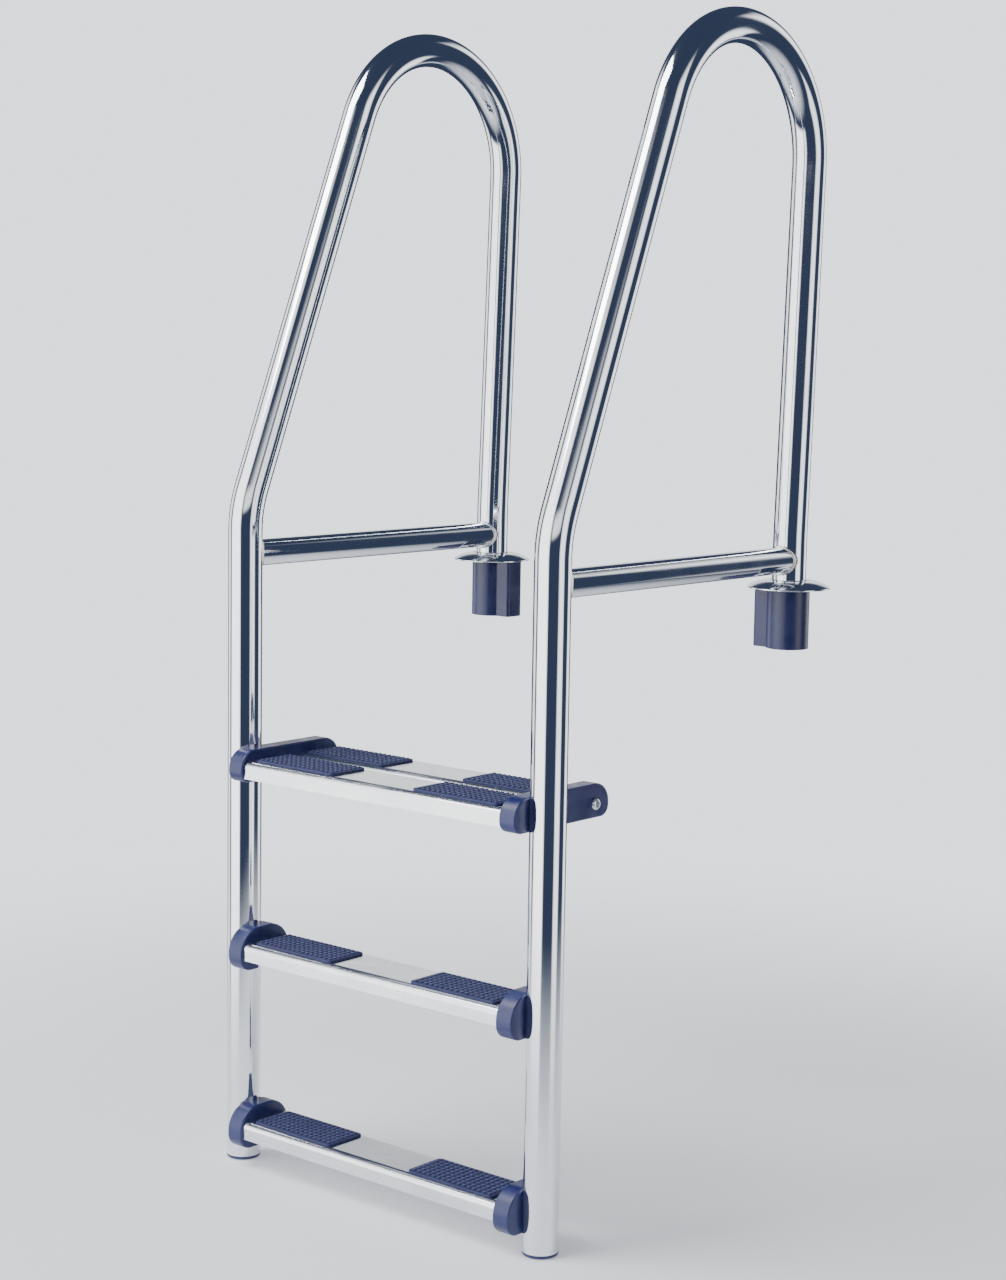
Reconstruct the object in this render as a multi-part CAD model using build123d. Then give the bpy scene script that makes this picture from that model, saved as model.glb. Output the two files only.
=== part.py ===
"""Pool ladder with hooped handrails, three steps and two deck anchors.

Frame: origin midway between the two posts, at deck level. +X is to the right
for a bather facing the deck, +Y runs from the pool to the deck, +Z is up.
Each piece is modelled for the right-hand side, at positive X, and mirrored.
"""

import os
from math import asin, atan2, cos, degrees, hypot, sin, sqrt

from build123d import *

os.makedirs("parts", exist_ok=True)

# ---- driving dimensions, millimetres -------------------------------------

# rails: one bent tube on each side
rail_spacing = 500.0
rail_od = 43.0
rail_wall = 1.5
leg_y = -475.0
leg_bottom_z = -743.0
bend_z = 92.0
bend_radius = 150.0
hoop_y = -135.0
hoop_z = 534.5
hoop_radius = 152.0
knee_z = 66.0
knee_radius = 500.0
stub_depth = 73.0

# brace between the leg and the post, just above the deck
brace_od = 33.7
brace_wall = 1.5
brace_z = 36.0
weld_leg = 2.5

# steps
step_pitch = 233.0
upper_step_z = -220.0
tread_depth = 76.0
tread_height = 22.0
tread_sheet = 1.5
tread_nose_radius = 9.0
tread_lip = 8.0
tread_half_length = 222.0
rear_tread_offset = 88.0

# tread pads
pad_inner_x = 65.0
pad_outer_x = 199.0
pad_depth = 60.0
pad_base = 2.6
pad_edge = 0.8
pad_corner = 6.0
stud_radius = 2.6
stud_height = 1.4
stud_pitch = 8.0
stud_columns = 16
stud_rows = 7
peg_radius = 3.0
peg_hole_radius = 3.1
peg_head_radius = 4.2
peg_head_height = 1.8
peg_inset_x = 16.0
peg_inset_y = 14.0

# end caps between the treads and the legs
cap_inner_x = 211.0
cap_outer_x = 235.5
cap_half_depth = 42.0
cap_above = 17.0
cap_below = 37.0
cap_top_radius = 32.0
cap_bottom_radius = 18.0
cap_edge = 2.5
long_cap_back = 131.0
long_cap_above = 13.0
long_cap_below = 28.0
long_cap_top_radius = 24.0
long_cap_bottom_radius = 14.0
captive_rib = 2.5
captive_rib_width = 16.0
spanner_slot = 24.0

# M8 fasteners
bolt_radius = 4.0
bolt_hole_radius = 4.3
hex_across_flats = 13.0
hex_head_height = 5.3
nut_height = 6.5
washer_radius = 8.0
washer_thickness = 1.6
bolt_drop = 11.0
rear_bolt_offset = 104.0
dome_head_radius = 7.2
dome_head_height = 4.4
dome_round = 3.8
bush_radius = 7.0
bush_length = 15.0
thread_clearance = 0.05
bolt_end = 2.0

# leg end plugs
plug_flange = 4.0
plug_depth = 24.0
plug_wall = 2.5

# anchors set in the deck
socket_radius = 27.0
socket_depth = 77.0
socket_clearance = 0.1
drain_radius = 9.0
lobe_reach = 44.0
lobe_width = 30.0
lobe_corner = 5.0
lobe_roof = 12.0
wedge_channel_width = 20.6
wedge_channel_top = 37.5
wedge_channel_bottom = 41.0
wedge_width = 20.0
wedge_top_z = -14.0
wedge_height = 36.0
wedge_gap = 0.05
wedge_bolt_offset = 31.0
wedge_bolt_length = 52.0
wedge_bolt_seat = 6.0
socket_head_radius = 6.5
socket_head_height = 8.0
socket_head_edge = 0.6
counterbore_gap = 0.75
hex_key = 6.0

# escutcheons that cover the anchors
escutcheon_radius = 52.0
escutcheon_hole_radius = 21.9
escutcheon_height = 11.0
escutcheon_sheet = 1.5
escutcheon_lip = 4.0
escutcheon_shoulder = 8.6
escutcheon_swell = 0.8

# how far a cutting shape runs past what it cuts
past = 1.0

# ---- worked out from the driving dimensions ------------------------------

side_x = rail_spacing / 2
rail_radius = rail_od / 2
rail_bore = rail_radius - rail_wall
hex_radius = hex_across_flats / sqrt(3)
tread_z = {
    "upper": upper_step_z,
    "middle": upper_step_z - step_pitch,
    "lower": upper_step_z - 2 * step_pitch,
}
rear_y = leg_y + rear_tread_offset
treads = {
    "upper_front": (leg_y, tread_z["upper"]),
    "upper_rear": (rear_y, tread_z["upper"]),
    "middle": (leg_y, tread_z["middle"]),
    "lower": (leg_y, tread_z["lower"]),
}


# ---- helpers -------------------------------------------------------------


def save(name, *solids):
    """Write one node; identical loose pieces share it as separate solids."""
    shape = solids[0] if len(solids) == 1 else Compound(list(solids))
    shape.label = name
    export_step(shape, f"parts/{name}.step")


def save_pair(name, *solids):
    """Write the right-hand piece and its mirror image."""
    save(f"{name}_right", *solids)
    save(f"{name}_left", *(mirror(s, about=Plane.YZ) for s in solids))


def rod_x(x0, x1, y, z, radius):
    """A round bar along X between two X values."""
    return Pos((x0 + x1) / 2, y, z) * Rot(0, 90, 0) * Cylinder(radius, abs(x1 - x0))


def rod_z(x, y, z0, z1, radius):
    """A round bar along Z between two Z values."""
    return Pos(x, y, (z0 + z1) / 2) * Cylinder(radius, abs(z1 - z0))


def extrude_x(section, x0, x1):
    """A section drawn in Y and Z, carried along X between two X values."""
    return extrude(Plane.YZ.offset(x0) * section, x1 - x0, dir=(1, 0, 0))


def hex_x(x0, x1, y, z):
    """A hexagon bar along X with two flats level."""
    return extrude_x(Pos(y, z) * RegularPolygon(hex_radius, 6), x0, x1)


def block(x0, x1, y0, y1, z0, z1):
    """A box given by its corners."""
    size = (x1 - x0, y1 - y0, z1 - z0)
    return Pos((x0 + x1) / 2, (y0 + y1) / 2, (z0 + z1) / 2) * Box(*size)


# ---- rails and braces ----------------------------------------------------


def rail_path():
    """Centreline of the rail: leg, bend, slope, hoop, post, knee and stub."""
    run, rise = hoop_y - leg_y, hoop_z - bend_z
    slope = atan2(run, rise) - asin(hoop_radius / hypot(run, rise))
    reach, fall = -hoop_y, hoop_z - knee_z
    lean = asin(hoop_radius / hypot(reach, fall)) - atan2(reach, fall)
    hoop_start = (hoop_y - hoop_radius * cos(slope), hoop_z + hoop_radius * sin(slope))
    hoop_end = (hoop_y + hoop_radius * cos(lean), hoop_z - hoop_radius * sin(lean))
    start_angle = 180 - degrees(slope)
    with BuildLine(Plane.YZ.offset(side_x)) as path:
        FilletPolyline((leg_y, leg_bottom_z), (leg_y, bend_z), hoop_start, radius=bend_radius)
        CenterArc((hoop_y, hoop_z), hoop_radius, start_angle, -(start_angle + degrees(lean)))
        FilletPolyline(hoop_end, (0, knee_z), (0, -stub_depth), radius=knee_radius)
    return path.wire()


def rail():
    """The bent tube, with a hole in the leg for each bolt bush."""
    path = rail_path()
    start = Plane(origin=path @ 0, z_dir=path % 0)
    tube = sweep(start * (Circle(rail_radius) - Circle(rail_bore)), path=path)
    for z in tread_z.values():
        tube -= rod_x(side_x - rail_radius - past, side_x, leg_y, z - bolt_drop, bush_radius)
    return tube


def upright(y, radius):
    """A plain cylinder on the leg's or post's axis, beside the brace."""
    return rod_z(side_x, y, brace_z - rail_od, brace_z + rail_od, radius)


def brace_bar(radius):
    """A solid bar on the brace's axis, from the leg's axis to the post's."""
    return Pos(side_x, leg_y / 2, brace_z) * Rot(90, 0, 0) * Cylinder(radius, -leg_y)


def brace():
    """The brace tube, coped to sit on the leg and the post."""
    tube = brace_bar(brace_od / 2) - brace_bar(brace_od / 2 - brace_wall)
    return tube - upright(leg_y, rail_radius) - upright(0, rail_radius)


def weld(y):
    """The bead where the brace meets the leg or the post."""
    collar = brace_bar(brace_od / 2 + weld_leg) & upright(y, rail_radius + weld_leg)
    return collar - upright(y, rail_radius) - brace_bar(brace_od / 2)


# ---- treads and pads -----------------------------------------------------


def tread_outline(y, z, inset=0.0):
    """The tread's outer section, or its inner one with the sheet's thickness as inset."""
    half, bottom = tread_depth / 2 - inset, -tread_height + inset
    section = Polygon((-half, bottom), (-half, -inset), (half, -inset), (half, bottom), align=None)
    corners = section.vertices().group_by(Axis.Y)[-1]
    return Pos(y, z) * fillet(corners, tread_nose_radius - inset)


def tread(y, z):
    """A pressed channel with a rounded nose front and back and a lip turned in below."""
    mouth = tread_depth / 2 - tread_lip
    gap = Pos(y, z - tread_height) * Rectangle(2 * mouth, 2 * tread_sheet)
    section = tread_outline(y, z) - tread_outline(y, z, tread_sheet) - gap
    channel = extrude(Plane.YZ * section, tread_half_length, both=True)
    for side in (-1, 1):
        for x, peg_y in peg_places(y):
            channel -= rod_z(side * x, peg_y, z - 2 * tread_sheet, z + past, peg_hole_radius)
    return channel


def peg_places(y):
    """Where a right-hand pad's four pegs go through the tread."""
    middle = (pad_inner_x + pad_outer_x) / 2
    reach_x = (pad_outer_x - pad_inner_x) / 2 - peg_inset_x
    reach_y = pad_depth / 2 - peg_inset_y
    return [(middle + i * reach_x, y + j * reach_y) for i in (-1, 1) for j in (-1, 1)]


def pad(y, z):
    """A rubber pad with rows of round studs and four pegs that snap through the tread."""
    middle = (pad_inner_x + pad_outer_x) / 2
    base = extrude(RectangleRounded(pad_outer_x - pad_inner_x, pad_depth, pad_corner), pad_base)
    base = chamfer(base.faces().sort_by(Axis.Z)[-1].edges(), pad_edge)
    grid = GridLocations(stud_pitch, stud_pitch, stud_columns, stud_rows)
    studs = Sketch() + [place * Circle(stud_radius) for place in grid]
    base += extrude(Pos(0, 0, pad_base) * studs, stud_height)
    body = Pos(middle, y, z) * base
    head_top = z - tread_sheet
    for x, peg_y in peg_places(y):
        body += rod_z(x, peg_y, head_top, z, peg_radius)
        body += rod_z(x, peg_y, head_top - peg_head_height, head_top, peg_head_radius)
    return body


# ---- end caps ------------------------------------------------------------


def cap_outline(y1, bottom, top, bottom_radius, top_radius):
    """The end cap seen from the side: rounded over the nose and at the back."""
    y0 = leg_y - cap_half_depth
    section = Polygon((y0, bottom), (y0, top), (y1, top), (y1, bottom), align=None)
    section = fillet(section.vertices().group_by(Axis.Y)[-1], top_radius)
    return fillet(section.vertices().group_by(Axis.Y)[0], bottom_radius)


def short_cap(z):
    """The cap of a single tread."""
    section = cap_outline(
        leg_y + cap_half_depth, z - cap_below, z + cap_above, cap_bottom_radius, cap_top_radius
    )
    return end_cap(section, z, (leg_y,), (leg_y,))


def long_cap(z):
    """The cap that joins both upper treads, with ribs for the rear bolt's nut."""
    section = cap_outline(
        leg_y + long_cap_back,
        z - long_cap_below,
        z + long_cap_above,
        long_cap_bottom_radius,
        long_cap_top_radius,
    )
    cap = end_cap(section, z, (leg_y, rear_y), (leg_y, leg_y + rear_bolt_offset))
    return cap + captive_ribs(leg_y + rear_bolt_offset, z - bolt_drop)


def end_cap(section, z, tread_ys, bolt_ys):
    """A moulded cap with a pocket for each tread and a saddle for the leg."""
    cap = extrude_x(section, cap_inner_x, cap_outer_x)
    cap = fillet(cap.faces().sort_by(Axis.X)[0].edges(), cap_edge)
    cap = fillet(cap.faces().sort_by(Axis.X)[-1].edges(), cap_edge)
    for y in tread_ys:
        cap -= extrude_x(tread_outline(y, z), cap_inner_x, tread_half_length)
    cap -= rod_z(side_x, leg_y, z - cap_below - past, z + cap_above + past, rail_radius)
    y0, y1 = leg_y - spanner_slot / 2, leg_y + spanner_slot / 2
    cap -= block(cap_inner_x, tread_half_length, y0, y1, z - cap_below, z - tread_height)
    for y in bolt_ys:
        cap -= rod_x(cap_inner_x, cap_outer_x, y, z - bolt_drop, bolt_hole_radius)
    return cap


def captive_ribs(y, z):
    """Two ribs in the pocket that stop the nut between them from turning."""
    flat, x0 = hex_across_flats / 2, tread_half_length - nut_height
    half = captive_rib_width / 2
    above = block(x0, tread_half_length, y - half, y + half, z + flat, z + flat + captive_rib)
    below = block(x0, tread_half_length, y - half, y + half, z - flat - captive_rib, z - flat)
    return above + below


# ---- fasteners -----------------------------------------------------------


def washer(x0, x1, y, z):
    """A flat washer on a bolt along X."""
    return rod_x(x0, x1, y, z, washer_radius) - rod_x(x0, x1, y, z, bolt_hole_radius)


def leg_bush(z):
    """A threaded bush set in the leg's inner wall."""
    end = side_x - rail_radius + bush_length
    bush = rod_x(side_x - rail_od, end, leg_y, z, bush_radius)
    bush &= rod_z(side_x, leg_y, z - rail_od, z + rail_od, rail_radius)
    return bush - rod_x(side_x - rail_od, end, leg_y, z, bolt_radius + thread_clearance)


def leg_bolt(z):
    """The bolt from inside the tread, through the cap, into the leg's bush."""
    seat = tread_half_length - washer_thickness
    head = hex_x(seat - hex_head_height, seat, leg_y, z)
    end = side_x - rail_radius + bush_length - bolt_end
    return head + rod_x(seat, end, leg_y, z, bolt_radius)


def rear_bolt(y, z):
    """The dome-headed bolt on the outer face of the long cap."""
    head = rod_x(cap_outer_x, cap_outer_x + dome_head_height, y, z, dome_head_radius)
    head = fillet(head.edges().sort_by(Axis.X)[-1], dome_round)
    return head + rod_x(tread_half_length - nut_height - bolt_end, cap_outer_x, y, z, bolt_radius)


def rear_nut(y, z):
    """The captive nut of the dome-headed bolt."""
    end = tread_half_length - nut_height
    thread = rod_x(end, tread_half_length, y, z, bolt_radius + thread_clearance)
    return hex_x(end, tread_half_length, y, z) - thread


# ---- leg end plugs -------------------------------------------------------


def leg_plug():
    """A hollow plastic plug that closes the leg's lower end."""
    flange = rod_z(side_x, leg_y, leg_bottom_z - plug_flange, leg_bottom_z, rail_radius)
    flange = fillet(flange.edges().sort_by(Axis.Z)[0], plug_flange / 2)
    spigot = rod_z(side_x, leg_y, leg_bottom_z, leg_bottom_z + plug_depth, rail_bore)
    hollow = rod_z(side_x, leg_y, leg_bottom_z, leg_bottom_z + plug_depth, rail_bore - plug_wall)
    return flange + (spigot - hollow)


# ---- deck anchors --------------------------------------------------------


def wedge_face_x(z):
    """X of the channel's sloping wall at a height, for the right-hand anchor."""
    top, bottom = -lobe_roof, -stub_depth
    share = (top - z) / (top - bottom)
    return side_x - wedge_channel_top - share * (wedge_channel_bottom - wedge_channel_top)


def wedge_prism(z0, z1, width, gap):
    """A prism from the post's axis to the sloping wall, short of it by the gap."""
    x0, x1 = wedge_face_x(z0) + gap, wedge_face_x(z1) + gap
    section = Polygon((side_x, z0), (side_x, z1), (x1, z1), (x0, z0), align=None)
    return extrude(Plane.XZ * section, width / 2, both=True)


def anchor_socket():
    """The socket set in the deck, with a lobe on its inner side for the wedge."""
    body = rod_z(side_x, 0, -socket_depth, 0, socket_radius)
    lobe = block(side_x - lobe_reach, side_x, -lobe_width / 2, lobe_width / 2, -socket_depth, 0)
    lobe = fillet(lobe.edges().filter_by(Axis.Z).group_by(Axis.X)[0], lobe_corner)
    body += lobe
    bore = rail_radius + socket_clearance
    body -= rod_z(side_x, 0, -stub_depth, 0, bore)
    body -= rod_z(side_x, 0, -socket_depth, 0, drain_radius)
    body -= wedge_prism(-stub_depth, -lobe_roof, wedge_channel_width, 0)
    bolt_x = side_x - wedge_bolt_offset
    body -= rod_z(bolt_x, 0, -lobe_roof, 0, bolt_hole_radius)
    body -= rod_z(bolt_x, 0, -wedge_bolt_seat, 0, socket_head_radius + counterbore_gap)
    return body


def anchor_wedge():
    """The wedge that the bolt draws up between the post and the socket."""
    wedge = wedge_prism(wedge_top_z - wedge_height, wedge_top_z, wedge_width, wedge_gap)
    low, high = wedge_top_z - wedge_height - past, wedge_top_z + past
    wedge -= rod_z(side_x, 0, low, high, rail_radius + socket_clearance)
    return wedge - rod_z(side_x - wedge_bolt_offset, 0, low, high, bolt_radius + thread_clearance)


def wedge_bolt():
    """A socket-head bolt that hangs from the lobe's roof and draws the wedge up."""
    x, seat = side_x - wedge_bolt_offset, -wedge_bolt_seat
    head = rod_z(x, 0, seat, seat + socket_head_height, socket_head_radius)
    head = chamfer(head.edges().sort_by(Axis.Z)[-1], socket_head_edge)
    key = Pos(x, 0, seat + socket_head_height / 2) * RegularPolygon(hex_key / sqrt(3), 6)
    head -= extrude(key, socket_head_height)
    return head + rod_z(x, 0, seat - wedge_bolt_length, seat, bolt_radius)


def escutcheon():
    """A spun cover that slides on the post and hides the anchor."""
    rim, hole, sheet = escutcheon_radius, escutcheon_hole_radius, escutcheon_sheet
    middle, crown = (rim + hole) / 2, escutcheon_shoulder + sheet
    swell = escutcheon_swell * crown
    with BuildSketch(Plane.XZ) as section:
        with BuildLine():
            Line((rim - escutcheon_lip, 0), (rim, 0))
            Line((rim, 0), (rim, sheet))
            ThreePointArc((rim, sheet), (middle, swell), (hole + 2 * sheet, crown))
            Line((hole + 2 * sheet, crown), (hole + sheet, escutcheon_height))
            Line((hole + sheet, escutcheon_height), (hole, escutcheon_height))
            Line((hole, escutcheon_height), (hole, escutcheon_shoulder))
            ThreePointArc(
                (hole, escutcheon_shoulder), (middle, swell - sheet), (rim - escutcheon_lip, 0)
            )
        make_face()
    return Pos(side_x, 0, 0) * revolve(section.sketch, Axis.Z)


# ---- build and write -----------------------------------------------------

save_pair("rail", rail())
save_pair("brace", brace())
save_pair("brace_welds", weld(leg_y), weld(0))
save_pair("leg_end_plug", leg_plug())

bolt_zs = [z - bolt_drop for z in tread_z.values()]
save_pair("leg_bushes", *(leg_bush(z) for z in bolt_zs))
save_pair("tread_bolts", *(leg_bolt(z) for z in bolt_zs))
washer_x = tread_half_length - washer_thickness
save_pair("tread_bolt_washers", *(washer(washer_x, tread_half_length, leg_y, z) for z in bolt_zs))

for place, (y, z) in treads.items():
    save(f"{place}_tread", tread(y, z))
    save_pair(f"{place}_pad", pad(y, z))

rear_bolt_y = leg_y + rear_bolt_offset
rear_bolt_z = tread_z["upper"] - bolt_drop
save_pair("upper_end_cap", long_cap(tread_z["upper"]))
save_pair("middle_end_cap", short_cap(tread_z["middle"]))
save_pair("lower_end_cap", short_cap(tread_z["lower"]))
save_pair("rear_bolt", rear_bolt(rear_bolt_y, rear_bolt_z))
save_pair("rear_nut", rear_nut(rear_bolt_y, rear_bolt_z))

save_pair("anchor_socket", anchor_socket())
save_pair("anchor_wedge", anchor_wedge())
save_pair("wedge_bolt", wedge_bolt())
save_pair("escutcheon", escutcheon())
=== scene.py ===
from math import asin, atan2, cos, hypot, pi, radians, sin, sqrt, tan

import bmesh
import bpy
import numpy as np
from mathutils import Matrix, Vector


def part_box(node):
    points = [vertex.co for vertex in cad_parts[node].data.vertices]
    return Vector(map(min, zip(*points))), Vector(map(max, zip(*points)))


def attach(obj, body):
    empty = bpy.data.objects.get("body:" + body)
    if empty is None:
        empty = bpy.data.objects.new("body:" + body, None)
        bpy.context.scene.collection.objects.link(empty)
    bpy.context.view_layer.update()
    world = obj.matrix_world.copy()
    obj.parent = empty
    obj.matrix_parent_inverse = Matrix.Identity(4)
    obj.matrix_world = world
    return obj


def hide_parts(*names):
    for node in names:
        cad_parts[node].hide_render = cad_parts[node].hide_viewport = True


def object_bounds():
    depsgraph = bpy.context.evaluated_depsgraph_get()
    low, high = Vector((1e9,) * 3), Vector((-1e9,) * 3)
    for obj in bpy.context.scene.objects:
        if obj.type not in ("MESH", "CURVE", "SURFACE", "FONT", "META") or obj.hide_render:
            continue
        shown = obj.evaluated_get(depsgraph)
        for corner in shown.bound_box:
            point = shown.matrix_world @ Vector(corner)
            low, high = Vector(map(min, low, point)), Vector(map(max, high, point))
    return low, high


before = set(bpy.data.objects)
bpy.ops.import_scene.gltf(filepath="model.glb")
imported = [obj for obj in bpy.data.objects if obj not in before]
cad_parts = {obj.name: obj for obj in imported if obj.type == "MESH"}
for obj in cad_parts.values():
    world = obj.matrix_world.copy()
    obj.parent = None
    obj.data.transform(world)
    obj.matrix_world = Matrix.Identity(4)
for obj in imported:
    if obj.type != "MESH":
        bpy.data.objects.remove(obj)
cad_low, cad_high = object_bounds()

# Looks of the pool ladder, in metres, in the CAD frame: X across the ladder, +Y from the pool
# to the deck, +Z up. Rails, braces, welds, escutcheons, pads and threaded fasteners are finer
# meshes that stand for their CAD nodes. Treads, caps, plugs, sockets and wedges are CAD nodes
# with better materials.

SIDES = {"left": -1, "right": 1}

# ---- measures ------------------------------------------------------------

rail_low, rail_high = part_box("rail_right")
side_x = (rail_low.x + rail_high.x) / 2
rail_radius = (rail_high.x - rail_low.x) / 2
rail_wall = 0.0015
leg_y = rail_low.y + rail_radius
leg_bottom_z = rail_low.z
bend_z = 0.092
bend_radius = 0.150
hoop_radius = 0.152
hoop_y = -0.135
hoop_z = rail_high.z - rail_radius - hoop_radius
knee_z = 0.066
knee_radius = 0.500
stub_z = -0.073
tube_edge = 0.0003

brace_low, brace_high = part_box("brace_right")
brace_radius = (brace_high.z - brace_low.z) / 2
brace_z = (brace_high.z + brace_low.z) / 2
weld_leg = 0.0025
weld_ripple = 0.0021

bolt_radius = 0.004
bolt_drop = 0.011
thread_pitch = 0.00125
thread_depth = 0.00062
hex_across_flats = 0.013
hex_head_height = 0.0053
socket_head_radius = 0.0065
socket_head_height = 0.008
socket_head_edge = 0.0006
hex_key = 0.006
key_depth = 0.004
key_edge = 0.0003
tread_sheet = 0.0015

escutcheon_hole = 0.0219
escutcheon_sheet = 0.0015
escutcheon_lip = 0.004
escutcheon_shoulder = 0.0086
escutcheon_swell = 0.8

ROUND = 96


# ---- mesh helpers --------------------------------------------------------


def grid_faces(rows, columns, close_rows=False, close_columns=True, start=0):
    """Quads over a grid of points laid out row by row."""
    faces = []
    for r in range(rows if close_rows else rows - 1):
        for c in range(columns if close_columns else columns - 1):
            r1, c1 = (r + 1) % rows, (c + 1) % columns
            faces.append(tuple(start + i for i in
                               (r * columns + c, r * columns + c1, r1 * columns + c1, r1 * columns + c)))
    return faces


def make_piece(name, points, faces, body, stands_for, material, sharp=35, grain=None):
    """A smooth-shaded mesh piece on a body, standing for CAD nodes."""
    mesh = bpy.data.meshes.new(name)
    mesh.from_pydata([tuple(p) for p in points], [], faces)
    tidy = bmesh.new()
    tidy.from_mesh(mesh)
    bmesh.ops.recalc_face_normals(tidy, faces=tidy.faces)
    tidy.to_mesh(mesh)
    tidy.free()
    mesh.polygons.foreach_set("use_smooth", [True] * len(mesh.polygons))
    mesh.set_sharp_from_angle(angle=radians(sharp))
    if grain is not None:
        layer = mesh.attributes.new("grain", "FLOAT_VECTOR", "POINT")
        layer.data.foreach_set("vector", np.asarray(grain, np.float32).ravel())
    mesh.materials.append(material)
    piece = bpy.data.objects.new(name, mesh)
    bpy.context.scene.collection.objects.link(piece)
    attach(piece, body)
    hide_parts(*stands_for)
    return piece


def arc(centre, radius, start, sweep, step=radians(1.2)):
    """Points on an arc in a plane, about a step apart."""
    count = max(2, round(abs(sweep) / step))
    turns = [start + sweep * i / count for i in range(count + 1)]
    return [(centre[0] + radius * cos(a), centre[1] + radius * sin(a)) for a in turns]


def rounded(outline, radius, steps=5):
    """An open or closed outline's points with each inner corner rounded by the radius."""
    made = [outline[0]]
    for before, corner, after in zip(outline, outline[1:], outline[2:]):
        a, b, c = (np.array(p, float) for p in (before, corner, after))
        reach = min(radius, np.linalg.norm(a - b) * 0.45, np.linalg.norm(c - b) * 0.45)
        start = b + (a - b) / np.linalg.norm(a - b) * reach
        end = b + (c - b) / np.linalg.norm(c - b) * reach
        for i in range(steps + 1):
            t = i / steps
            made.append(tuple((1 - t) ** 2 * start + 2 * t * (1 - t) * b + t * t * end))
    return made + [outline[-1]]


def lathe(profile, place, count=ROUND, closed=True):
    """Points and faces of a profile of (radius, height) spun about a vertical axis."""
    angles = [2 * pi * i / count for i in range(count)]
    points = [Vector((r * cos(a), r * sin(a), z)) + place for r, z in profile for a in angles]
    faces = grid_faces(len(profile), count, close_rows=closed)
    if not closed:
        last = (len(profile) - 1) * count
        faces += [tuple(range(count)), tuple(range(last, last + count))]
    return points, faces


def joined(*parts):
    """Several (points, faces) as one."""
    points, faces = [], []
    for more_points, more_faces in parts:
        start = len(points)
        points += list(more_points)
        faces += [tuple(start + i for i in f) for f in more_faces]
    return points, faces


# ---- material helpers ----------------------------------------------------


def add_node(tree, kind, inputs=(), **settings):
    """A node with its settings; inputs are (socket, value or output) pairs."""
    node = tree.nodes.new(kind)
    for key, value in settings.items():
        setattr(node, key, value)
    for socket, value in inputs:
        if isinstance(value, bpy.types.NodeSocket):
            tree.links.new(value, node.inputs[socket])
        else:
            node.inputs[socket].default_value = value
    return node


class Shade:
    """One material's node tree, built by short calls that return output sockets."""

    def __init__(self, name, **values):
        self.material = bpy.data.materials.new(name)
        self.material.use_nodes = True
        self.tree = self.material.node_tree
        self.shader = self.tree.nodes["Principled BSDF"]
        for socket, value in values.items():
            self.shader.inputs[socket.replace("_", " ")].default_value = value

    def add(self, kind, inputs=(), **settings):
        """A node in this material's tree."""
        return add_node(self.tree, kind, inputs, **settings)

    def place(self, scale=(1, 1, 1)):
        """Position in the object's own metres, stretched."""
        where = self.add("ShaderNodeTexCoord").outputs["Object"]
        return self.add("ShaderNodeMapping", [("Vector", where), ("Scale", scale)]).outputs[0]

    def grain(self, scale=(1, 1, 1)):
        """Position along and across the piece's own grain, stretched."""
        where = self.add("ShaderNodeAttribute", attribute_name="grain").outputs["Vector"]
        return self.add("ShaderNodeMapping", [("Vector", where), ("Scale", scale)]).outputs[0]

    def noise(self, where, scale, detail=4.0, roughness=0.55, distortion=0.0):
        """Fractal noise, about 0.3 to 0.7."""
        return self.add("ShaderNodeTexNoise", [
            ("Vector", where), ("Scale", scale), ("Detail", detail),
            ("Roughness", roughness), ("Distortion", distortion)]).outputs["Fac"]

    def cells(self, where, scale):
        """Distance to the nearest of scattered points."""
        return self.add("ShaderNodeTexVoronoi", [("Vector", where), ("Scale", scale)]).outputs["Distance"]

    def span(self, value, low, high, to_low=0.0, to_high=1.0, kind="LINEAR"):
        """A value's stretch from low to high, put on another stretch."""
        return self.add("ShaderNodeMapRange", [
            ("Value", value), ("From Min", low), ("From Max", high),
            ("To Min", to_low), ("To Max", to_high)], interpolation_type=kind).outputs["Result"]

    def maths(self, operation, a, b=0.0):
        """One arithmetic step."""
        return self.add("ShaderNodeMath", [(0, a), (1, b)], operation=operation).outputs[0]

    def tint(self, share, a, b):
        """A colour between two, by a share that varies over the surface."""
        node = self.add("ShaderNodeMix", [("Factor", share)], data_type="RGBA")
        node.inputs[6].default_value = (*a, 1)
        node.inputs[7].default_value = (*b, 1)
        return node.outputs[2]

    def bump(self, height, strength, distance, under=None):
        """A normal from a height that varies over the surface."""
        inputs = [("Height", height), ("Strength", strength), ("Distance", distance)]
        if under is not None:
            inputs.append(("Normal", under))
        return self.add("ShaderNodeBump", inputs).outputs["Normal"]

    def wear(self, **links):
        """Links outputs to the shader's sockets and gives the material."""
        for socket, output in links.items():
            self.tree.links.new(output, self.shader.inputs[socket.replace("_", " ")])
        return self.material


# ---- materials -----------------------------------------------------------


def polished_steel():
    """Mirror-polished tube: faint lengthwise polishing lines, smudges and dried drops."""
    s = Shade("polished_steel", Metallic=1.0)
    smudge = s.noise(s.grain((1.0, 2.2, 2.2)), 9.0, 5.0, 0.6, 0.6)
    lines = s.noise(s.grain((14.0, 900.0, 900.0)), 1.0, 3.0)
    drops = s.span(s.cells(s.grain((1.0, 1.0, 1.0)), 160.0), 0.10, 0.24, 1.0, 0.0)
    spotted = s.maths("MULTIPLY", drops, s.span(smudge, 0.54, 0.66))
    film = s.span(smudge, 0.40, 0.70, 0.035, 0.105)
    rough = s.maths("ADD", film, s.maths("MULTIPLY", spotted, 0.05))
    rough = s.maths("ADD", rough, s.span(lines, 0.35, 0.65, 0.0, 0.02))
    colour = s.tint(s.span(smudge, 0.35, 0.70), (0.80, 0.82, 0.85), (0.72, 0.75, 0.80))
    return s.wear(Base_Color=colour, Roughness=rough, Normal=s.bump(lines, 0.03, 0.0002))


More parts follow.
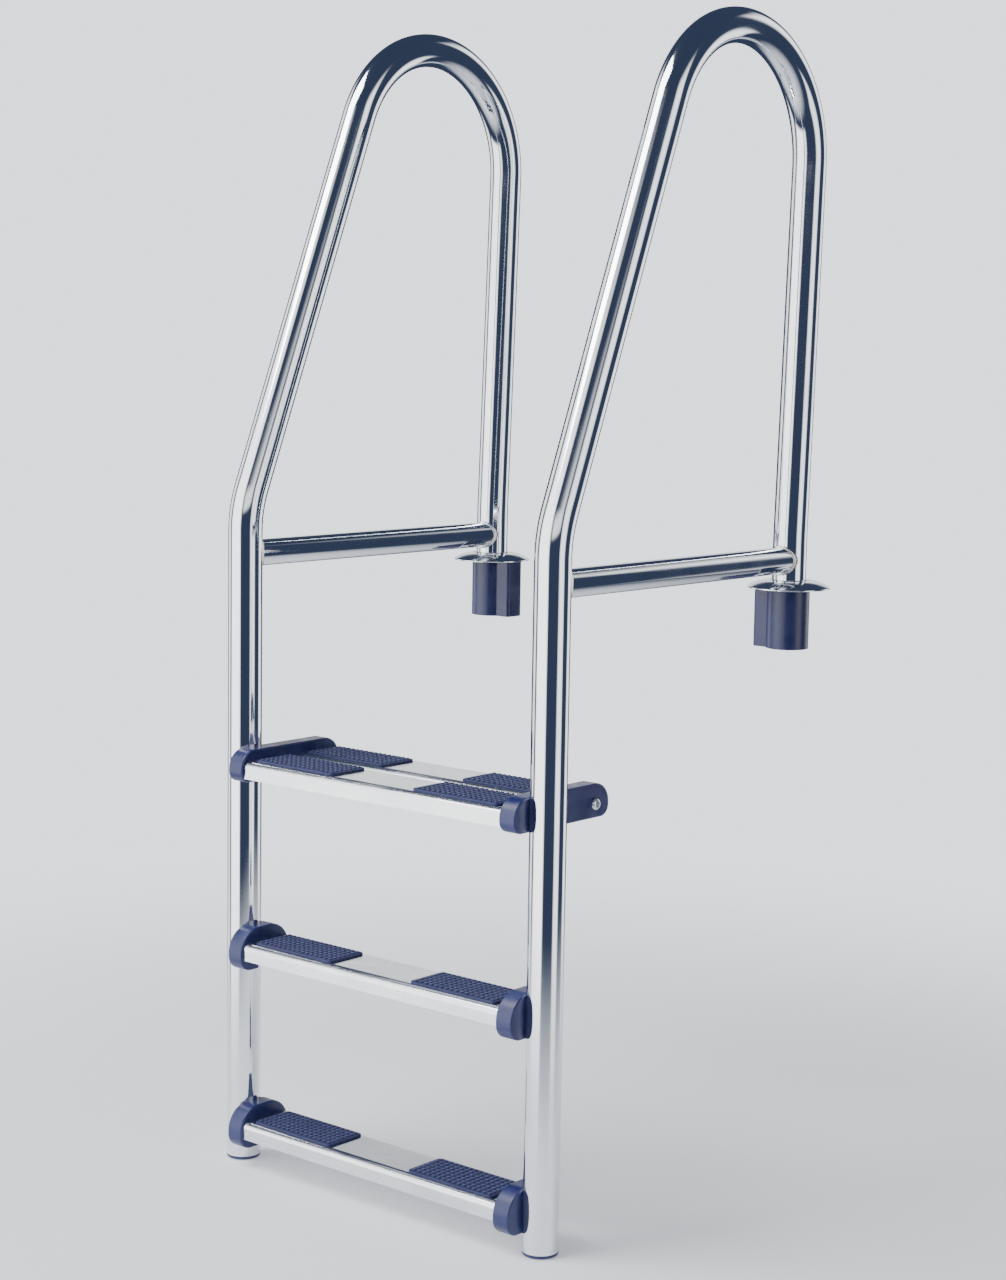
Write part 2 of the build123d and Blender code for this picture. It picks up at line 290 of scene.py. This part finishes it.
def spun_steel():
    """Polished cover with the fine rings of spinning, rubbed duller on the crown."""
    s = Shade("spun_steel", Metallic=1.0)
    rings = s.noise(s.grain((1700.0, 5.0, 5.0)), 1.0, 3.0)
    film = s.noise(s.place(), 38.0, 4.0, 0.6)
    rough = s.maths("ADD", s.span(film, 0.35, 0.7, 0.07, 0.17), s.span(rings, 0.3, 0.7, 0.0, 0.05))
    colour = s.tint(s.span(film, 0.35, 0.7), (0.79, 0.81, 0.84), (0.70, 0.73, 0.78))
    return s.wear(Base_Color=colour, Roughness=rough, Normal=s.bump(rings, 0.16, 0.0002))


def tread_steel():
    """Bright pressed sheet with a fine lengthwise grain, scuffed by feet on its flat top."""
    s = Shade("tread_steel", Metallic=1.0)
    grain = s.noise(s.place((12.0, 1300.0, 1300.0)), 1.0, 4.0, 0.6)
    scuff = s.noise(s.place((60.0, 25.0, 60.0)), 3.0, 6.0, 0.7, 1.2)
    sheet = s.noise(s.place(), 14.0, 3.0)
    rough = s.maths("ADD", s.span(grain, 0.3, 0.7, 0.13, 0.23), s.span(scuff, 0.56, 0.72, 0.0, 0.14))
    colour = s.tint(s.span(sheet, 0.35, 0.65), (0.78, 0.80, 0.83), (0.69, 0.72, 0.76))
    wavy = s.bump(sheet, 0.10, 0.002)
    return s.wear(Base_Color=colour, Roughness=rough, Normal=s.bump(grain, 0.14, 0.0002, wavy))


def weld_steel():
    """Brushed-off weld metal with a trace of straw and blue heat tint."""
    s = Shade("weld_steel", Metallic=1.0)
    heat = s.noise(s.place(), 70.0, 4.0)
    pits = s.noise(s.place(), 1500.0, 3.0)
    colour = s.tint(s.span(heat, 0.40, 0.62), (0.66, 0.68, 0.74), (0.70, 0.66, 0.58))
    rough = s.span(pits, 0.3, 0.7, 0.22, 0.40)
    return s.wear(Base_Color=colour, Roughness=rough, Normal=s.bump(pits, 0.3, 0.0002))


def fastener_steel():
    """Bright cold-formed steel with rolled grain and small nicks."""
    s = Shade("fastener_steel", Metallic=1.0)
    cloud = s.noise(s.place(), 90.0, 5.0)
    nicks = s.noise(s.place(), 900.0, 4.0, 0.65)
    colour = s.tint(s.span(cloud, 0.35, 0.65), (0.74, 0.75, 0.78), (0.60, 0.62, 0.66))
    rough = s.span(nicks, 0.3, 0.7, 0.16, 0.34)
    return s.wear(Base_Color=colour, Roughness=rough, Normal=s.bump(nicks, 0.2, 0.0002))


def pad_rubber():
    """Navy rubber: fine grain, chalky traces between the studs, stud tops rubbed lighter."""
    s = Shade("pad_rubber", Specular_IOR_Level=0.42, Sheen_Weight=0.08, Sheen_Roughness=0.5)
    fine = s.noise(s.place(), 1900.0, 3.0, 0.6)
    cloud = s.noise(s.place(), 55.0, 5.0, 0.6)
    height = s.add("ShaderNodeSeparateXYZ",
                   [("Vector", s.add("ShaderNodeAttribute", attribute_name="grain").outputs["Vector"])])
    rubbed = s.span(height.outputs["Z"], 0.0035, 0.0040)
    rubbed = s.maths("MULTIPLY", rubbed, s.span(cloud, 0.40, 0.62, 0.25, 1.0))
    colour = s.tint(rubbed, (0.010, 0.016, 0.085), (0.040, 0.055, 0.190))
    dusty = s.maths("ADD", s.span(cloud, 0.35, 0.65, 0.52, 0.66), s.maths("MULTIPLY", rubbed, -0.16))
    return s.wear(Base_Color=colour, Roughness=dusty, Normal=s.bump(fine, 0.25, 0.0003))


def moulded_plastic(name, deep, pale, gloss, grain=0.22):
    """Moulded plastic with a fine spark-eroded grain, cloudy gloss and small scuffs."""
    s = Shade(name, Specular_IOR_Level=0.5, Coat_Weight=0.10, Coat_Roughness=0.28)
    fine = s.noise(s.place(), 1500.0, 3.0, 0.6)
    cloud = s.noise(s.place(), 42.0, 5.0, 0.6)
    scuff = s.span(s.noise(s.place((55.0, 150.0, 330.0)), 1.0, 6.0, 0.72, 1.5), 0.60, 0.72)
    share = s.maths("ADD", s.span(cloud, 0.38, 0.68, 0.0, 0.45), s.maths("MULTIPLY", scuff, 0.55))
    rough = s.maths("ADD", s.span(cloud, 0.35, 0.65, gloss, gloss + 0.12), s.maths("MULTIPLY", scuff, 0.15))
    colour = s.tint(share, deep, pale)
    return s.wear(Base_Color=colour, Roughness=rough, Normal=s.bump(fine, grain, 0.00025))


def wedge_brass():
    """Sand-cast brass, darker in its hollows."""
    s = Shade("wedge_brass", Metallic=1.0)
    cast = s.noise(s.place(), 650.0, 5.0, 0.65)
    cloud = s.noise(s.place(), 60.0, 4.0)
    colour = s.tint(s.span(cloud, 0.35, 0.65), (0.70, 0.53, 0.27), (0.52, 0.37, 0.18))
    rough = s.span(cast, 0.3, 0.7, 0.26, 0.50)
    return s.wear(Base_Color=colour, Roughness=rough, Normal=s.bump(cast, 0.35, 0.0004))


materials = {
    "polished_steel": polished_steel(),
    "spun_steel": spun_steel(),
    "tread_steel": tread_steel(),
    "weld_steel": weld_steel(),
    "fastener_steel": fastener_steel(),
    "pad_rubber": pad_rubber(),
    "navy_plastic": moulded_plastic("navy_plastic", (0.007, 0.012, 0.085), (0.022, 0.034, 0.150), 0.30),
    "socket_plastic": moulded_plastic("socket_plastic", (0.008, 0.012, 0.062), (0.022, 0.030, 0.100), 0.28),
    "wedge_brass": wedge_brass(),
}


def dress_cad_nodes():
    """Gives every CAD node the finished material of its own slot."""
    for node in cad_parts.values():
        for slot in node.material_slots:
            slot.material = materials[slot.material.name.split(".")[0]]


# ---- rails and braces ----------------------------------------------------


def rail_centreline():
    """Points (y, z) down the middle of the rail: leg, bend, slope, hoop, post, knee and stub."""
    run, rise = hoop_y - leg_y, hoop_z - bend_z
    slope = atan2(run, rise) - asin(hoop_radius / hypot(run, rise))
    reach, fall = -hoop_y, hoop_z - knee_z
    lean = asin(hoop_radius / hypot(reach, fall)) - atan2(reach, fall)
    bend_centre = (leg_y + bend_radius, bend_z - bend_radius * tan(slope / 2))
    knee_centre = (knee_radius, knee_z - knee_radius * tan(lean / 2))
    line = [(leg_y, leg_bottom_z)]
    line += arc(bend_centre, bend_radius, pi, -slope)
    line += arc((hoop_y, hoop_z), hoop_radius, pi - slope, slope - pi - lean)
    line += arc(knee_centre, knee_radius, pi - lean, lean)
    return line + [(0, stub_z)]


def pipe_rows(line):
    """For each ring of a pipe's skin: its middle, its radius and how far along it is."""
    steps = np.linalg.norm(np.diff(np.array(line), axis=0), axis=1)
    along = [0.0, *np.cumsum(steps)]
    inner = rail_radius - rail_wall
    rows = [(0, rail_radius - tube_edge, 0.0), (0, rail_radius, tube_edge)]
    rows += [(i, rail_radius, 0.0) for i in range(1, len(line) - 1)]
    rows += [(len(line) - 1, rail_radius, -tube_edge), (len(line) - 1, rail_radius - tube_edge, 0.0)]
    rows += [(i, inner, 0.0) for i in reversed(range(len(line)))]
    return rows, along


def rail(side, sign):
    """One handrail and leg: a pipe with its wall and softened ends."""
    line = rail_centreline()
    rows, along = pipe_rows(line)
    points, grain = [], []
    for i, radius, shift in rows:
        before, after = np.array(line[max(i - 1, 0)]), np.array(line[min(i + 1, len(line) - 1)])
        ahead = (after - before) / np.linalg.norm(after - before)
        y, z = np.array(line[i]) + ahead * shift
        for k in range(ROUND):
            a = 2 * pi * k / ROUND
            points.append((sign * side_x + radius * cos(a),
                           y - radius * sin(a) * ahead[1], z + radius * sin(a) * ahead[0]))
            grain.append((along[i] + shift, radius * cos(a), radius * sin(a)))
    faces = grid_faces(len(rows), ROUND, close_rows=True)
    return make_piece(f"handrail_{side}", points, faces, "ladder",
                      [f"rail_{side}"], materials["polished_steel"], grain=grain)


def brace(side, sign):
    """The brace pipe, its ends shaped to the leg and the post."""
    inner = brace_radius - rail_wall
    stations = 8
    points, grain = [], []
    for radius, order in ((brace_radius, range(stations)), (inner, reversed(range(stations)))):
        for i in order:
            for k in range(ROUND):
                a = 2 * pi * k / ROUND
                cope = sqrt(rail_radius ** 2 - (radius * cos(a)) ** 2)
                y = leg_y + cope + (-leg_y - 2 * cope) * i / (stations - 1)
                points.append((sign * side_x + radius * cos(a), y, brace_z + radius * sin(a)))
                grain.append((y, radius * cos(a), radius * sin(a)))
    faces = grid_faces(2 * stations, ROUND, close_rows=True)
    return make_piece(f"brace_tube_{side}", points, faces, "ladder",
                      [f"brace_{side}"], materials["polished_steel"], grain=grain)


def weld_bead(sign, post_y, way):
    """A rippled fillet bead round the brace where it meets a rail; way is +1 towards +Y."""
    ripples = round(2 * pi * brace_radius / weld_ripple)
    stations = ripples * 8
    root = 0.0004
    points = []
    for k in range(stations):
        a = 2 * pi * k / stations
        phase = (k / 8.0) % 1.0
        swell = 1.0 + 0.16 * (abs(2 * phase - 1) ** 0.6 - 0.6) + 0.04 * sin(5 * a + post_y * 40)
        leg = weld_leg * swell * 0.94
        out = np.array((cos(a), 0, sin(a)))
        along = np.array((0, way, 0))
        saddle = sqrt(rail_radius ** 2 - (brace_radius * cos(a)) ** 2)
        wide = brace_radius + leg
        toe = sqrt(rail_radius ** 2 - (wide * cos(a)) ** 2)
        middle = np.array((sign * side_x, post_y, brace_z))
        on_brace = middle + out * brace_radius + along * (saddle + leg)
        on_rail = middle + out * wide + along * toe
        corner = middle + out * (brace_radius + leg * 0.78) + along * (max(saddle, toe) + leg * 0.78)
        for t in (0.0, 0.2, 0.4, 0.6, 0.8, 1.0):
            points.append((1 - t) ** 2 * on_brace + 2 * t * (1 - t) * corner + t * t * on_rail)
        points.append(on_rail - along * root)
        points.append(middle + out * (brace_radius - root) + along * (saddle - root))
        points.append(on_brace - out * root)
    return points, grid_faces(stations, 9, close_rows=True)


def welds(side, sign):
    """The two beads of one brace."""
    points, faces = joined(weld_bead(sign, leg_y, 1), weld_bead(sign, 0.0, -1))
    return make_piece(f"weld_beads_{side}", points, faces, "ladder",
                      [f"brace_welds_{side}"], materials["weld_steel"], sharp=60)


# ---- escutcheons ---------------------------------------------------------


def escutcheon(side, sign):
    """The spun cover: softened rim, low dome and upstanding collar."""
    low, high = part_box(f"escutcheon_{side}")
    rim, height, sheet = (high.x - low.x) / 2, high.z - low.z, escutcheon_sheet
    hole, lip, shoulder = escutcheon_hole, escutcheon_lip, escutcheon_shoulder
    middle, crown = (rim + hole) / 2, shoulder + sheet
    swell = escutcheon_swell * crown

    def dome(start, through, end, count=22):
        """Points on the arc through three points."""
        (x1, y1), (x2, y2), (x3, y3) = start, through, end
        d = 2 * (x1 * (y2 - y3) + x2 * (y3 - y1) + x3 * (y1 - y2))
        s1, s2, s3 = x1 * x1 + y1 * y1, x2 * x2 + y2 * y2, x3 * x3 + y3 * y3
        cx = (s1 * (y2 - y3) + s2 * (y3 - y1) + s3 * (y1 - y2)) / d
        cy = (s1 * (x3 - x2) + s2 * (x1 - x3) + s3 * (x2 - x1)) / d
        a, b = atan2(y1 - cy, x1 - cx), atan2(y3 - cy, x3 - cx)
        radius = hypot(x1 - cx, y1 - cy)
        return [(cx + radius * cos(a + (b - a) * i / count), cy + radius * sin(a + (b - a) * i / count))
                for i in range(count + 1)]

    rim_edge = rounded([(rim - lip, 0), (rim, 0), (rim, sheet), (rim - sheet, sheet * 1.25)], 0.0006)
    over = dome((rim, sheet), (middle, swell), (hole + 2 * sheet, crown))[2:]
    collar = rounded([over[-1], (hole + sheet, height), (hole, height), (hole, shoulder)], 0.0005)
    under = dome((hole, shoulder), (middle, swell - sheet), (rim - lip, 0))
    profile = rim_edge[:-1] + over[:-1] + collar + under[1:-1]
    count = 160
    place = Vector((sign * side_x, 0, low.z))
    points, faces = lathe(profile, place, count)
    grain = [(hypot(p.x - place.x, p.y), p.x, p.y) for p in points]
    return make_piece(f"escutcheon_cover_{side}", points, faces, f"escutcheon_{side}",
                      [f"escutcheon_{side}"], materials["spun_steel"], sharp=40, grain=grain)


# ---- pads ----------------------------------------------------------------

stud_pitch = 0.008
stud_columns = 16
stud_rows = 7
stud_foot = 0.0029
stud_radius = 0.0025
pad_base = 0.0026
pad_top = 0.0040
pad_corner = 0.006
pad_edge = 0.0009
peg_radius = 0.003
peg_head_radius = 0.0042
peg_head_height = 0.0018
peg_inset_x = 0.016
peg_inset_y = 0.014


def stud_cell(centre_x, centre_y):
    """One square of the pad's top with a domed round stud, as rings of 16 points and a tip."""
    half = stud_pitch / 2
    square = [(-1, -1), (-0.5, -1), (0, -1), (0.5, -1), (1, -1), (1, -0.5), (1, 0), (1, 0.5),
              (1, 1), (0.5, 1), (0, 1), (-0.5, 1), (-1, 1), (-1, 0.5), (-1, 0), (-1, -0.5)]
    rings = [[(centre_x + half * u, centre_y + half * v, pad_base) for u, v in square]]
    rise = pad_top - pad_base
    for radius, share in ((stud_foot, 0.0), (stud_foot - 0.00025, 0.10), (stud_radius, 0.30),
                          (stud_radius - 0.00008, 0.72), (stud_radius - 0.0003, 0.92),
                          (stud_radius - 0.0008, 1.0)):
        ring = []
        for u, v in square:
            reach = hypot(u, v)
            ring.append((centre_x + radius * u / reach, centre_y + radius * v / reach,
                         pad_base + rise * share))
        rings.append(ring)
    return [p for ring in rings for p in ring], len(rings)


def rounded_box_point(x, y, half_x, half_y, corner):
    """The point of a rounded rectangle's edge nearest to a point outside its core."""
    core_x = max(-half_x + corner, min(half_x - corner, x))
    core_y = max(-half_y + corner, min(half_y - corner, y))
    dx, dy = x - core_x, y - core_y
    reach = hypot(dx, dy) or 1.0
    return core_x + dx / reach * corner, core_y + dy / reach * corner


def pad_mesh(half_x, half_y):
    """A pad about its own middle, its underside at height 0: studs, edge and flat back."""
    points, faces = [], []
    for i in range(stud_columns):
        for j in range(stud_rows):
            x = (i - (stud_columns - 1) / 2) * stud_pitch
            y = (j - (stud_rows - 1) / 2) * stud_pitch
            cell, rings = stud_cell(x, y)
            start = len(points)
            points += cell
            faces += grid_faces(rings, 16, start=start)
            faces.append(tuple(start + (rings - 1) * 16 + k for k in range(16)))
    field_x, field_y = stud_columns * stud_pitch / 2, stud_rows * stud_pitch / 2
    steps_x, steps_y = stud_columns * 4, stud_rows * 4
    edge = [(-field_x + 2 * field_x * i / steps_x, -field_y) for i in range(steps_x)]
    edge += [(field_x, -field_y + 2 * field_y * i / steps_y) for i in range(steps_y)]
    edge += [(field_x - 2 * field_x * i / steps_x, field_y) for i in range(steps_x)]
    edge += [(-field_x, field_y - 2 * field_y * i / steps_y) for i in range(steps_y)]
    start = len(points)
    points += [(x, y, pad_base) for x, y in edge]
    skirt = [(pad_edge * 1.3, pad_base), (pad_edge * 0.62, pad_base - pad_edge * 0.12),
             (pad_edge * 0.2, pad_base - pad_edge * 0.5), (0.0, pad_base - pad_edge * 1.1),
             (0.0, 0.0003), (0.0003, 0.0)]
    for inset, z in skirt:
        for x, y in edge:
            push_x, push_y = x * 1.2, y * 1.2
            px, py = rounded_box_point(push_x, push_y, half_x - inset, half_y - inset, pad_corner - inset)
            points.append((px, py, z))
    rows = len(skirt) + 1
    faces += grid_faces(rows, len(edge), start=start)
    faces.append(tuple(start + (rows - 1) * len(edge) + k for k in range(len(edge))))
    return points, faces


def pegs(half_x, half_y):
    """The four pegs under a pad, each with a snap head."""
    root, tip, core = 0.0002, -tread_sheet - peg_head_height, 0.0004
    profile = [(core, root), (peg_radius, root), (peg_radius, -tread_sheet),
               (peg_head_radius, -tread_sheet), (peg_head_radius, -tread_sheet - peg_head_height * 0.35),
               (peg_radius, tip), (core, tip)]
    made = []
    for i in (-1, 1):
        for j in (-1, 1):
            place = Vector((i * (half_x - peg_inset_x), j * (half_y - peg_inset_y), 0))
            made.append(lathe(profile, place, 32, closed=False))
    return made


def pad(place, side):
    """One studded pad on its tread."""
    low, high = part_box(f"{place}_pad_{side}")
    half_x, half_y = (high.x - low.x) / 2, (high.y - low.y) / 2
    middle = Vector(((low.x + high.x) / 2, (low.y + high.y) / 2, high.z - pad_top))
    points, faces = joined(pad_mesh(half_x, half_y), *pegs(half_x, half_y))
    grain = [tuple(p) for p in points]
    points = [Vector(p) + middle for p in points]
    piece = make_piece(f"studded_{place}_pad_{side}", points, faces, "ladder",
                       [f"{place}_pad_{side}"], materials["pad_rubber"], sharp=55, grain=grain)
    weld = bmesh.new()
    weld.from_mesh(piece.data)
    bmesh.ops.remove_doubles(weld, verts=weld.verts, dist=0.00002)
    weld.to_mesh(piece.data)
    weld.free()
    return piece


# ---- threaded fasteners --------------------------------------------------


def threaded_rod(length, radius=bolt_radius, around=32, per_turn=8):
    """A rod from height 0 down, with a rolled thread and a tapered start at its end."""
    rows = round(length / thread_pitch * per_turn)
    points = []
    for r in range(rows + 1):
        z = -length * r / rows
        fade = min(1.0, (length + z) / (2 * thread_pitch) + 0.35, 1.0)
        for k in range(around):
            turn = (z / thread_pitch + k / around) % 1.0
            groove = min(1.0, max(0.0, 1.25 - abs(2 * turn - 1) * 1.5))
            reach = (radius - thread_depth * groove) * (0.86 + 0.14 * fade)
            a = 2 * pi * k / around
            points.append(Vector((reach * cos(a), reach * sin(a), z)))
    faces = grid_faces(rows + 1, around)
    faces += [tuple(range(around)), tuple(range(rows * around, (rows + 1) * around))]
    return points, faces


def hex_head(across, height, samples=8):
    """A hexagon head from height 0 up, its free end chamfered round."""
    count = 6 * samples
    ring, flat = [], across / 2
    for k in range(count):
        off = (k % samples) / samples * pi / 3 - pi / 6
        ring.append((2 * pi * k / count, flat / cos(off)))
    crown = flat * 0.96
    levels = [[(a, r, 0.0) for a, r in ring],
              [(a, r, height - (r - crown) * tan(radians(30))) for a, r in ring],
              [(a, crown, height) for a, r in ring]]
    points = [Vector((r * cos(a), r * sin(a), z)) for level in levels for a, r, z in level]
    faces = grid_faces(len(levels), count)
    return points, faces + [tuple(range(count)), tuple(range(2 * count, 3 * count))]


def laid_along_x(points, sign):
    """Turns points so that their +Z points to the ladder's middle, along X."""
    return [Vector((-sign * p.z, p.y, p.x)) for p in points]


def tread_bolts(side, sign):
    """The three bolts that hold one side's treads to the leg."""
    low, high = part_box(f"tread_bolts_{side}")
    inner, outer = sorted((abs(low.x), abs(high.x)))
    made = []
    for name in ("upper_front", "middle", "lower"):
        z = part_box(f"{name}_tread")[1].z - bolt_drop
        rod, rod_faces = threaded_rod(outer - inner - hex_head_height)
        cap, cap_faces = hex_head(hex_across_flats, hex_head_height)
        points, faces = joined((rod, rod_faces), (cap, cap_faces))
        place = Vector((sign * (inner + hex_head_height), leg_y, z))
        made.append(([p + place for p in laid_along_x(points, sign)], faces))
    points, faces = joined(*made)
    return make_piece(f"hex_bolts_{side}", points, faces, "ladder",
                      [f"tread_bolts_{side}"], materials["fastener_steel"], sharp=40)


def wedge_bolt(side, sign):
    """The socket-head bolt that draws the wedge up."""
    low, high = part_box(f"wedge_bolt_{side}")
    place = Vector(((low.x + high.x) / 2, (low.y + high.y) / 2, 0))
    seat = high.z - socket_head_height
    shank = threaded_rod(seat - low.z)
    count = 48
    levels = []
    top, brim = socket_head_height, socket_head_radius
    for radius, z in ((brim, 0.0), (brim, top - socket_head_edge), (brim - socket_head_edge, top)):
        levels += [Vector((radius * cos(2 * pi * k / count), radius * sin(2 * pi * k / count), z))
                   for k in range(count)]
    flats = []
    for k in range(count):
        off = (k % 8) / 8 * pi / 3 - pi / 6
        flats.append((2 * pi * k / count, hex_key / 2 / cos(off)))
    for grow, z in ((key_edge, top), (0.0, top - key_edge), (0.0, key_depth)):
        levels += [Vector(((r + grow) * cos(a), (r + grow) * sin(a), z)) for a, r in flats]
    faces = grid_faces(6, count) + [tuple(range(count)), tuple(range(5 * count, 6 * count))]
    points, faces = joined(shank, (levels, faces))
    lift = Vector((0, 0, seat))
    points = [p + place + lift for p in points]
    return make_piece(f"socket_bolt_{side}", points, faces, f"wedge_screw_{side}",
                      [f"wedge_bolt_{side}"], materials["fastener_steel"], sharp=40)


# ---- studio --------------------------------------------------------------


def studio_floor():
    """A pale round floor under the legs that fades out into the backdrop."""
    s = Shade("studio_floor", Roughness=0.6, Emission_Color=(0.86, 0.89, 0.94, 1), Emission_Strength=0.35)
    middle = Vector((0, (cad_low.y + cad_high.y) / 2, cad_low.z - 0.0005))
    where = s.add("ShaderNodeTexCoord").outputs["Object"]
    reach = s.add("ShaderNodeVectorMath", [(0, where)], operation="LENGTH").outputs["Value"]
    faded = s.span(reach, 0.55, 1.9, 0.0, 1.0, "SMOOTHSTEP")
    mottle = s.noise(where, 1.6, 3.0)
    colour = s.tint(s.span(mottle, 0.3, 0.7), (0.88, 0.89, 0.91), (0.85, 0.865, 0.89))
    s.wear(Base_Color=colour)
    clear = s.add("ShaderNodeBsdfTransparent")
    blend = s.add("ShaderNodeMixShader", [(0, faded), (1, s.shader.outputs[0]), (2, clear.outputs[0])])
    s.tree.links.new(blend.outputs[0], s.tree.nodes["Material Output"].inputs["Surface"])
    bpy.ops.mesh.primitive_circle_add(vertices=96, radius=2.0, fill_type="NGON", location=middle)
    floor = bpy.context.object
    floor.name = "studio_floor"
    floor.data.materials.append(s.material)


# soft boxes of the studio: where they stand round the object (degrees, 0 in front on the pool
# side and 90 to its right), half width in degrees, lowest and highest height as the sine of the
# elevation, and brightness
SOFT_BOXES = [
    (-22, 33, -0.42, 0.62, 3.4),
    (96, 14, -0.42, 0.50, 2.2),
    (218, 16, 0.06, 0.34, 1.5),
    (166, 12, -0.40, 0.55, 2.2),
    (276, 11, -0.40, 0.55, 2.2),
    (45, 22, 0.18, 0.44, 1.6),
]


def studio_light():
    """Pale backdrop for the camera; for reflections, a dim cool room with soft boxes."""
    world = bpy.data.worlds.new("studio")
    bpy.context.scene.world = world
    world.use_nodes = True
    tree = world.node_tree
    tree.nodes.clear()

    def add(kind, inputs=(), **settings):
        return add_node(tree, kind, inputs, **settings)

    def smooth(value, low, high, to_low=0.0, to_high=1.0):
        return add("ShaderNodeMapRange", [
            ("Value", value), ("From Min", low), ("From Max", high), ("To Min", to_low),
            ("To Max", to_high)], interpolation_type="SMOOTHSTEP").outputs["Result"]

    def maths(operation, a, b):
        return add("ShaderNodeMath", [(0, a), (1, b)], operation=operation).outputs[0]

    way = add("ShaderNodeTexCoord").outputs["Generated"]
    parts = add("ShaderNodeSeparateXYZ", [(0, way)])
    level = add("ShaderNodeCombineXYZ", [(0, parts.outputs[0]), (1, parts.outputs[1])])
    level = add("ShaderNodeVectorMath", [(0, level.outputs[0])], operation="NORMALIZE").outputs[0]
    height = parts.outputs[2]
    total = None
    for azimuth, half, low, high, brightness in SOFT_BOXES:
        a, edge = radians(azimuth), 7
        aim = (sin(a), -cos(a), 0)
        facing = add("ShaderNodeVectorMath", [(0, level), (1, aim)], operation="DOT_PRODUCT")
        across = smooth(facing.outputs["Value"], cos(radians(half + edge)), cos(radians(half - edge)))
        rise = smooth(height, low - 0.05, low + 0.05)
        drop = smooth(height, high - 0.10, high + 0.10, 1.0, 0.0)
        box = maths("MULTIPLY", maths("MULTIPLY", across, rise), maths("MULTIPLY", drop, brightness))
        total = box if total is None else maths("ADD", total, box)
    room = add("ShaderNodeBackground", [("Color", (0.10, 0.14, 0.26, 1)), ("Strength", 0.42)])
    boxes = add("ShaderNodeBackground", [("Color", (1.0, 0.99, 0.97, 1)), ("Strength", total)])
    seen = add("ShaderNodeBackground", [("Color", (0.86, 0.89, 0.94, 1)), ("Strength", 2.1)])
    lit = add("ShaderNodeAddShader", [(0, room.outputs[0]), (1, boxes.outputs[0])])
    ray = add("ShaderNodeLightPath").outputs["Is Camera Ray"]
    mixed = add("ShaderNodeMixShader", [(0, ray), (1, lit.outputs[0]), (2, seen.outputs[0])])
    add("ShaderNodeOutputWorld", [("Surface", mixed.outputs[0])])


def key_light():
    """One large soft light overhead, for gentle shadows under the steps."""
    data = bpy.data.lights.new("key", "AREA")
    data.shape, data.size, data.size_y, data.energy = "RECTANGLE", 2.2, 2.2, 170
    light = bpy.data.objects.new("key", data)
    bpy.context.scene.collection.objects.link(light)
    light.location = (-1.4, -2.2, 3.0)
    aim = Vector((0, -0.3, -0.1)) - light.location
    light.rotation_euler = aim.to_track_quat("-Z", "Y").to_euler()
    light.visible_camera = False


def camera():
    """The reference view: from the pool, to the ladder's right and a little above its middle."""
    azimuth, elevation, roll = radians(40.4423), radians(7.2188), radians(0.9361)
    ahead = Vector((-sin(azimuth) * cos(elevation), cos(azimuth) * cos(elevation), -sin(elevation)))
    level = Vector((cos(azimuth), sin(azimuth), 0))
    over = level.cross(ahead)
    right = cos(roll) * level + sin(roll) * over
    up = -sin(roll) * level + cos(roll) * over
    data = bpy.data.cameras.new("camera")
    data.sensor_fit, data.sensor_height, data.lens = "VERTICAL", 36, 68.43
    data.clip_start, data.clip_end = 0.05, 100
    cam = bpy.data.objects.new("camera", data)
    bpy.context.scene.collection.objects.link(cam)
    turn = Matrix((right, up, -ahead)).transposed()
    cam.matrix_world = Matrix.Translation((1.975386, -2.583811, 0.31767)) @ turn.to_4x4()
    bpy.context.scene.camera = cam


# ---- put it together -----------------------------------------------------

dress_cad_nodes()
for side, sign in SIDES.items():
    rail(side, sign)
    brace(side, sign)
    welds(side, sign)
    escutcheon(side, sign)
    tread_bolts(side, sign)
    wedge_bolt(side, sign)
    for place in ("upper_front", "upper_rear", "middle", "lower"):
        pad(place, side)
studio_floor()
studio_light()
key_light()
camera()
